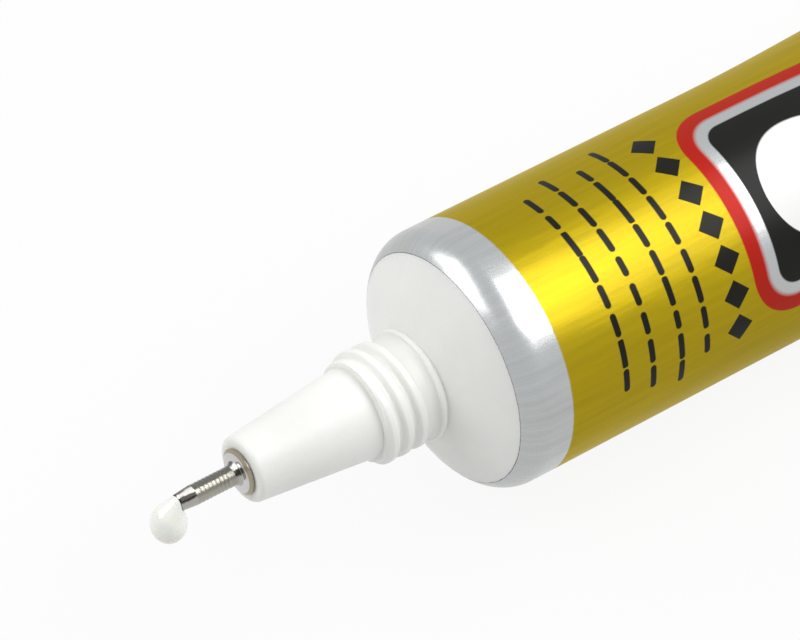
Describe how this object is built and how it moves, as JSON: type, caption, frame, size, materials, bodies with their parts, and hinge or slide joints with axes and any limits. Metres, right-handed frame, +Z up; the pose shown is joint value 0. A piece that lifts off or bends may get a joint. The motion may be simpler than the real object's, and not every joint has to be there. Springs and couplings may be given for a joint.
{
  "type": "nail glue tube",
  "caption": "Squeeze tube of nail glue lying on its flat sealed tail: gold foil sleeve, white screw-neck nozzle, metal needle and a hanging drop of glue.",
  "frame": {"origin": "on the table, below the middle of the bounding box", "axes": "+X towards the sealed tail, so the nozzle points to -X; +Z up from the table; the tube's axis lies in the XZ plane, nose up"},
  "size_m": [0.1292, 0.0294, 0.0222],
  "materials": {
    "gold_foil": "gold lacquer over foil laminate, satin",
    "white_plastic": "moulded white polyethylene, satin",
    "nickel": "turned and nickel plated",
    "glue": "milky wet glue"
  },
  "bodies": {
    "root": {"tube_sleeve": "gold_foil", "nozzle_head": "white_plastic", "needle_tip": "nickel", "adhesive_fill": "glue", "adhesive_drop": "glue"}
  },
  "joints": []
}
